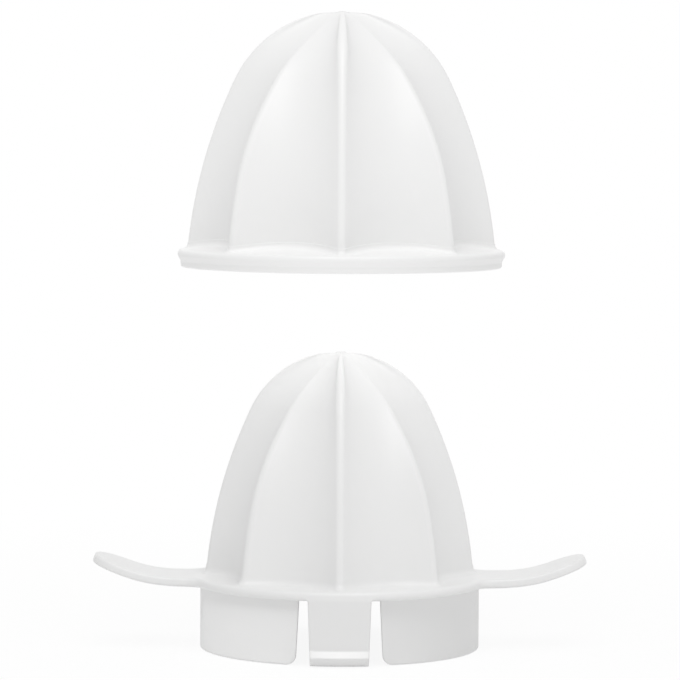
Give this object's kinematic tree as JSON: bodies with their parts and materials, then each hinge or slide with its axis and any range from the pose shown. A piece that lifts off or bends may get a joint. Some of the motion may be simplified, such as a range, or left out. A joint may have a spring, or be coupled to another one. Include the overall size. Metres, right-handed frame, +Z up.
{
  "type": "citrus juicing cone set",
  "caption": "Fluted juicing cone set: a large cone lifted off a small cone that carries stirring paddles, a snap-in skirt and a keyed drive hub.",
  "frame": {"origin": "middle of the skirt's foot, on the surface that the small cone stands on", "axes": "+Z up along the cones' common axis, +X towards the right paddle, -Y towards the front clip"},
  "size_m": [0.1152, 0.076, 0.148],
  "materials": {
    "white_plastic": "smooth moulded plastic with a soft gloss"
  },
  "bodies": {
    "small_cone": {"small_cone": "white_plastic", "left_paddle": "white_plastic", "right_paddle": "white_plastic", "left_skirt": "white_plastic", "right_skirt": "white_plastic", "drive_hub": "white_plastic"},
    "front_clip": {"front_clip": "white_plastic"},
    "rear_clip": {"rear_clip": "white_plastic"},
    "large_cone": {"large_cone": "white_plastic"}
  },
  "joints": [
    {"name": "large_cone_slide", "type": "slide", "parent": "small_cone", "child": "large_cone", "axis": [0, 0, 1], "range_m": [-0.0714, 0]},
    {"name": "front_clip_flex", "type": "hinge", "parent": "small_cone", "child": "front_clip", "pos_m": [0, -0.0314, 0.0146], "axis": [1, 0, 0], "range_deg": [0, 8], "stiffness_Nm_per_rad": 0.4},
    {"name": "rear_clip_flex", "type": "hinge", "parent": "small_cone", "child": "rear_clip", "pos_m": [0, 0.0314, 0.0146], "axis": [-1, 0, 0], "range_deg": [0, 8], "stiffness_Nm_per_rad": 0.4}
  ]
}
